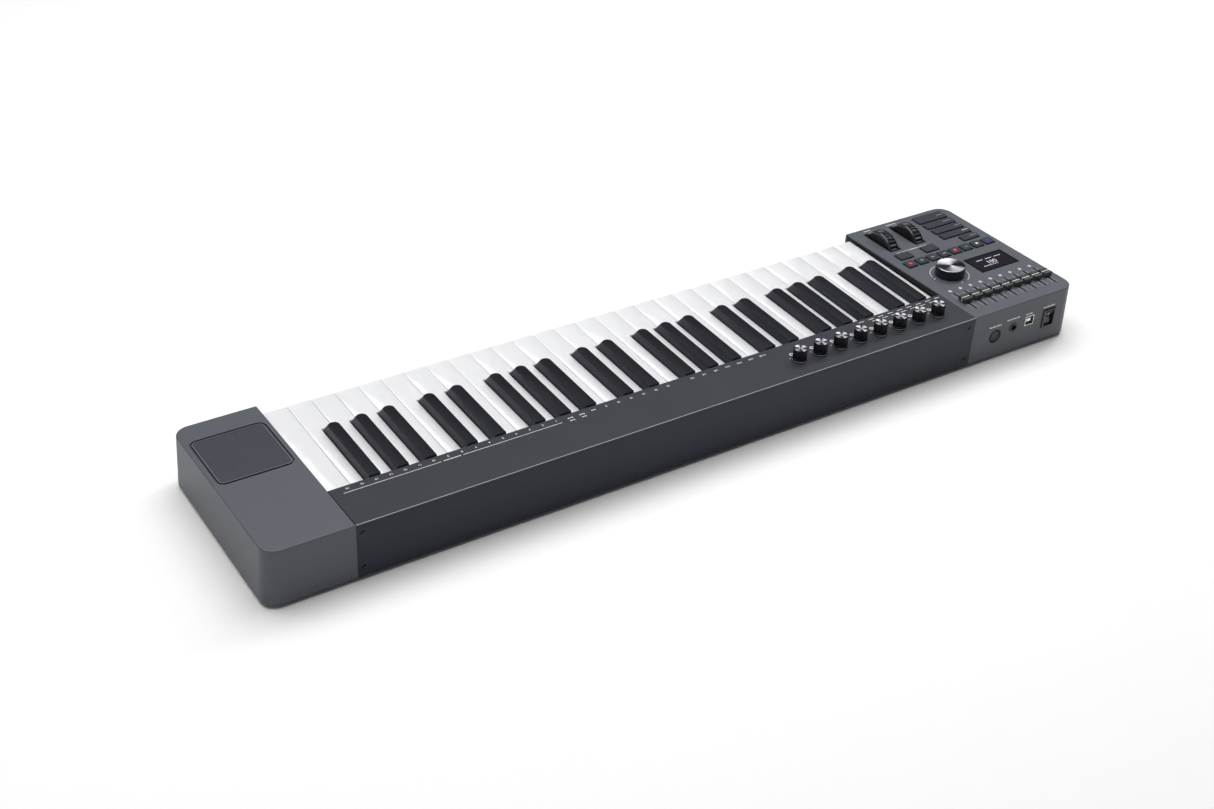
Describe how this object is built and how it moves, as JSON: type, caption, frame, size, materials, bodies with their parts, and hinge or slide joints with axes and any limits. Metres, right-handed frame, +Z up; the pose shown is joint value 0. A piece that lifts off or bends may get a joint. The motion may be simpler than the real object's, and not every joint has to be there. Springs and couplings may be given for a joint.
{
  "type": "midi keyboard",
  "caption": "Desktop controller keyboard with full-size keys, pitch and modulation wheels, knobs, faders, transport and function buttons, a touch pad, a display and rear sockets.",
  "frame": {"origin": "under the middle of the case's bounding box, on the surface that the rubber feet stand on", "axes": "+X to the player's right, +Y to the rear panel, +Z up"},
  "size_m": [0.909, 0.2084, 0.073],
  "materials": {
    "board_laminate": "green laminate",
    "case_plastic": "satin, fine grain",
    "fader_plastic": "matte",
    "foot_rubber": "matte",
    "inner_plastic": "matte",
    "key_black": "matte, lengthwise texture",
    "key_white": "gloss",
    "knob_plastic": "satin black with a spun cap",
    "pad_plastic": "speckled, matte",
    "panel_metal": "satin, smooth",
    "pot_steel": "plated",
    "rail_plastic": "satin",
    "screen_glass": "gloss black",
    "screw_steel": "blackened",
    "silicone": "matte",
    "socket_plastic": "matte",
    "socket_steel": "nickel",
    "spring_steel": "bright",
    "switch_plastic": "gloss",
    "tray_plastic": "satin black",
    "wheel_plastic": "gloss"
  },
  "bodies": {
    "case": {"base_tray": "tray_plastic", "control_housing": "case_plastic", "pad_housing": "case_plastic", "rail_cover": "rail_plastic", "rear_panel": "panel_metal", "feet": "foot_rubber", "screws": "screw_steel", "key_frame": "inner_plastic", "key_springs": "spring_steel", "contact_strip": "silicone", "wheel_bracket": "inner_plastic", "touch_pad": "pad_plastic", "display": "screen_glass", "potentiometers": "pot_steel", "circuit_boards": "board_laminate", "midi_socket": "socket_plastic", "pedal_jack": "socket_plastic", "usb_socket": "socket_steel", "switch_frame": "switch_plastic"},
    "white_keys_1": {"white_keys_1": "key_white"},
    "white_keys_2": {"white_keys_2": "key_white"},
    "white_keys_3": {"white_keys_3": "key_white"},
    "black_keys_1": {"black_keys_1": "key_black"},
    "black_keys_2": {"black_keys_2": "key_black"},
    "pitch_wheel": {"pitch_wheel": "wheel_plastic"},
    "mod_wheel": {"mod_wheel": "wheel_plastic"},
    "data_knob": {"data_knob": "knob_plastic"},
    "knob_1": {"knob_1": "knob_plastic"},
    "knob_2": {"knob_2": "knob_plastic"},
    "knob_3": {"knob_3": "knob_plastic"},
    "knob_4": {"knob_4": "knob_plastic"},
    "knob_5": {"knob_5": "knob_plastic"},
    "knob_6": {"knob_6": "knob_plastic"},
    "knob_7": {"knob_7": "knob_plastic"},
    "knob_8": {"knob_8": "knob_plastic"},
    "fader_1": {"fader_1": "fader_plastic"},
    "fader_2": {"fader_2": "fader_plastic"},
    "fader_3": {"fader_3": "fader_plastic"},
    "fader_4": {"fader_4": "fader_plastic"},
    "fader_5": {"fader_5": "fader_plastic"},
    "fader_6": {"fader_6": "fader_plastic"},
    "fader_7": {"fader_7": "fader_plastic"},
    "fader_8": {"fader_8": "fader_plastic"},
    "fader_9": {"fader_9": "fader_plastic"},
    "function_button_1": {"function_button_1": "silicone"},
    "function_button_2": {"function_button_2": "silicone"},
    "function_button_3": {"function_button_3": "silicone"},
    "function_button_4": {"function_button_4": "silicone"},
    "function_button_5": {"function_button_5": "silicone"},
    "octave_down": {"octave_down": "silicone"},
    "octave_up": {"octave_up": "silicone"},
    "transport_button_1": {"transport_button_1": "silicone"},
    "transport_button_2": {"transport_button_2": "silicone"},
    "transport_button_3": {"transport_button_3": "silicone"},
    "transport_button_4": {"transport_button_4": "silicone"},
    "transport_button_5": {"transport_button_5": "silicone"},
    "transport_button_6": {"transport_button_6": "silicone"},
    "transport_button_7": {"transport_button_7": "silicone"},
    "transport_button_8": {"transport_button_8": "silicone"},
    "power_rocker": {"power_rocker": "switch_plastic"}
  },
  "joints": [
    {"name": "white_keys_1_press", "type": "hinge", "parent": "case", "child": "white_keys_1", "pos_m": [0, 0.0872, 0.04], "axis": [1, 0, 0], "range_deg": [0, 3], "stiffness_Nm_per_rad": 9, "springref_deg": -6.88},
    {"name": "white_keys_2_press", "type": "hinge", "parent": "case", "child": "white_keys_2", "pos_m": [0, 0.0872, 0.04], "axis": [1, 0, 0], "range_deg": [0, 3], "stiffness_Nm_per_rad": 9, "springref_deg": -6.88},
    {"name": "white_keys_3_press", "type": "hinge", "parent": "case", "child": "white_keys_3", "pos_m": [0, 0.0872, 0.04], "axis": [1, 0, 0], "range_deg": [0, 3], "stiffness_Nm_per_rad": 9, "springref_deg": -6.88},
    {"name": "black_keys_1_press", "type": "hinge", "parent": "case", "child": "black_keys_1", "pos_m": [0, 0.0872, 0.04], "axis": [1, 0, 0], "range_deg": [0, 3], "stiffness_Nm_per_rad": 8, "springref_deg": -5.73},
    {"name": "black_keys_2_press", "type": "hinge", "parent": "case", "child": "black_keys_2", "pos_m": [0, 0.0872, 0.04], "axis": [1, 0, 0], "range_deg": [0, 3], "stiffness_Nm_per_rad": 8, "springref_deg": -5.73},
    {"name": "pitch_bend", "type": "hinge", "parent": "case", "child": "pitch_wheel", "pos_m": [-0.3713, -0.07025, 0.04344], "axis": [-1, 0, 0], "range_deg": [-38, 38], "stiffness_Nm_per_rad": 0.12},
    {"name": "mod_turn", "type": "hinge", "parent": "case", "child": "mod_wheel", "pos_m": [-0.3363, -0.07025, 0.04344], "axis": [-1, 0, 0], "range_deg": [-38, 38]},
    {"name": "data_knob_turn", "type": "hinge", "parent": "case", "child": "data_knob", "pos_m": [-0.351, 0.02021, 0.0578], "axis": [0, -0.026, 0.9997], "continuous": true},
    {"name": "knob_1_turn", "type": "hinge", "parent": "case", "child": "knob_1", "pos_m": [-0.1075, 0.07819, 0.05931], "axis": [0, -0.026, 0.9997], "range_deg": [-150, 150]},
    {"name": "knob_2_turn", "type": "hinge", "parent": "case", "child": "knob_2", "pos_m": [-0.1325, 0.07819, 0.05931], "axis": [0, -0.026, 0.9997], "range_deg": [-150, 150]},
    {"name": "knob_3_turn", "type": "hinge", "parent": "case", "child": "knob_3", "pos_m": [-0.1575, 0.07819, 0.05931], "axis": [0, -0.026, 0.9997], "range_deg": [-150, 150]},
    {"name": "knob_4_turn", "type": "hinge", "parent": "case", "child": "knob_4", "pos_m": [-0.1825, 0.07819, 0.05931], "axis": [0, -0.026, 0.9997], "range_deg": [-150, 150]},
    {"name": "knob_5_turn", "type": "hinge", "parent": "case", "child": "knob_5", "pos_m": [-0.2075, 0.07819, 0.05931], "axis": [0, -0.026, 0.9997], "range_deg": [-150, 150]},
    {"name": "knob_6_turn", "type": "hinge", "parent": "case", "child": "knob_6", "pos_m": [-0.2325, 0.07819, 0.05931], "axis": [0, -0.026, 0.9997], "range_deg": [-150, 150]},
    {"name": "knob_7_turn", "type": "hinge", "parent": "case", "child": "knob_7", "pos_m": [-0.2575, 0.07819, 0.05931], "axis": [0, -0.026, 0.9997], "range_deg": [-150, 150]},
    {"name": "knob_8_turn", "type": "hinge", "parent": "case", "child": "knob_8", "pos_m": [-0.2825, 0.07819, 0.05931], "axis": [0, -0.026, 0.9997], "range_deg": [-150, 150]},
    {"name": "fader_1_slide", "type": "slide", "parent": "case", "child": "fader_1", "axis": [0, 0.9997, 0.026], "range_m": [-0.0148, 0.0148]},
    {"name": "fader_2_slide", "type": "slide", "parent": "case", "child": "fader_2", "axis": [0, 0.9997, 0.026], "range_m": [-0.0148, 0.0148]},
    {"name": "fader_3_slide", "type": "slide", "parent": "case", "child": "fader_3", "axis": [0, 0.9997, 0.026], "range_m": [-0.0148, 0.0148]},
    {"name": "fader_4_slide", "type": "slide", "parent": "case", "child": "fader_4", "axis": [0, 0.9997, 0.026], "range_m": [-0.0148, 0.0148]},
    {"name": "fader_5_slide", "type": "slide", "parent": "case", "child": "fader_5", "axis": [0, 0.9997, 0.026], "range_m": [-0.0148, 0.0148]},
    {"name": "fader_6_slide", "type": "slide", "parent": "case", "child": "fader_6", "axis": [0, 0.9997, 0.026], "range_m": [-0.0148, 0.0148]},
    {"name": "fader_7_slide", "type": "slide", "parent": "case", "child": "fader_7", "axis": [0, 0.9997, 0.026], "range_m": [-0.0148, 0.0148]},
    {"name": "fader_8_slide", "type": "slide", "parent": "case", "child": "fader_8", "axis": [0, 0.9997, 0.026], "range_m": [-0.0148, 0.0148]},
    {"name": "fader_9_slide", "type": "slide", "parent": "case", "child": "fader_9", "axis": [0, 0.9997, 0.026], "range_m": [-0.0148, 0.0148]},
    {"name": "function_button_1_press", "type": "slide", "parent": "case", "child": "function_button_1", "axis": [0, 0.026, -0.9997], "range_m": [0, 0.001], "stiffness_N_per_m": 900, "springref_m": -0.0015},
    {"name": "function_button_2_press", "type": "slide", "parent": "case", "child": "function_button_2", "axis": [0, 0.026, -0.9997], "range_m": [0, 0.001], "stiffness_N_per_m": 900, "springref_m": -0.0015},
    {"name": "function_button_3_press", "type": "slide", "parent": "case", "child": "function_button_3", "axis": [0, 0.026, -0.9997], "range_m": [0, 0.001], "stiffness_N_per_m": 900, "springref_m": -0.0015},
    {"name": "function_button_4_press", "type": "slide", "parent": "case", "child": "function_button_4", "axis": [0, 0.026, -0.9997], "range_m": [0, 0.001], "stiffness_N_per_m": 900, "springref_m": -0.0015},
    {"name": "function_button_5_press", "type": "slide", "parent": "case", "child": "function_button_5", "axis": [0, 0.026, -0.9997], "range_m": [0, 0.001], "stiffness_N_per_m": 900, "springref_m": -0.0015},
    {"name": "octave_down_press", "type": "slide", "parent": "case", "child": "octave_down", "axis": [0, 0.026, -0.9997], "range_m": [0, 0.001], "stiffness_N_per_m": 900, "springref_m": -0.0015},
    {"name": "octave_up_press", "type": "slide", "parent": "case", "child": "octave_up", "axis": [0, 0.026, -0.9997], "range_m": [0, 0.001], "stiffness_N_per_m": 900, "springref_m": -0.0015},
    {"name": "transport_button_1_press", "type": "slide", "parent": "case", "child": "transport_button_1", "axis": [0, 0.026, -0.9997], "range_m": [0, 0.001], "stiffness_N_per_m": 900, "springref_m": -0.0015},
    {"name": "transport_button_2_press", "type": "slide", "parent": "case", "child": "transport_button_2", "axis": [0, 0.026, -0.9997], "range_m": [0, 0.001], "stiffness_N_per_m": 900, "springref_m": -0.0015},
    {"name": "transport_button_3_press", "type": "slide", "parent": "case", "child": "transport_button_3", "axis": [0, 0.026, -0.9997], "range_m": [0, 0.001], "stiffness_N_per_m": 900, "springref_m": -0.0015},
    {"name": "transport_button_4_press", "type": "slide", "parent": "case", "child": "transport_button_4", "axis": [0, 0.026, -0.9997], "range_m": [0, 0.001], "stiffness_N_per_m": 900, "springref_m": -0.0015},
    {"name": "transport_button_5_press", "type": "slide", "parent": "case", "child": "transport_button_5", "axis": [0, 0.026, -0.9997], "range_m": [0, 0.001], "stiffness_N_per_m": 900, "springref_m": -0.0015},
    {"name": "transport_button_6_press", "type": "slide", "parent": "case", "child": "transport_button_6", "axis": [0, 0.026, -0.9997], "range_m": [0, 0.001], "stiffness_N_per_m": 900, "springref_m": -0.0015},
    {"name": "transport_button_7_press", "type": "slide", "parent": "case", "child": "transport_button_7", "axis": [0, 0.026, -0.9997], "range_m": [0, 0.001], "stiffness_N_per_m": 900, "springref_m": -0.0015},
    {"name": "transport_button_8_press", "type": "slide", "parent": "case", "child": "transport_button_8", "axis": [0, 0.026, -0.9997], "range_m": [0, 0.001], "stiffness_N_per_m": 900, "springref_m": -0.0015},
    {"name": "power_switch", "type": "hinge", "parent": "case", "child": "power_rocker", "pos_m": [-0.4198, 0.0996, 0.0298], "axis": [1, 0, 0], "range_deg": [0, 16]}
  ]
}
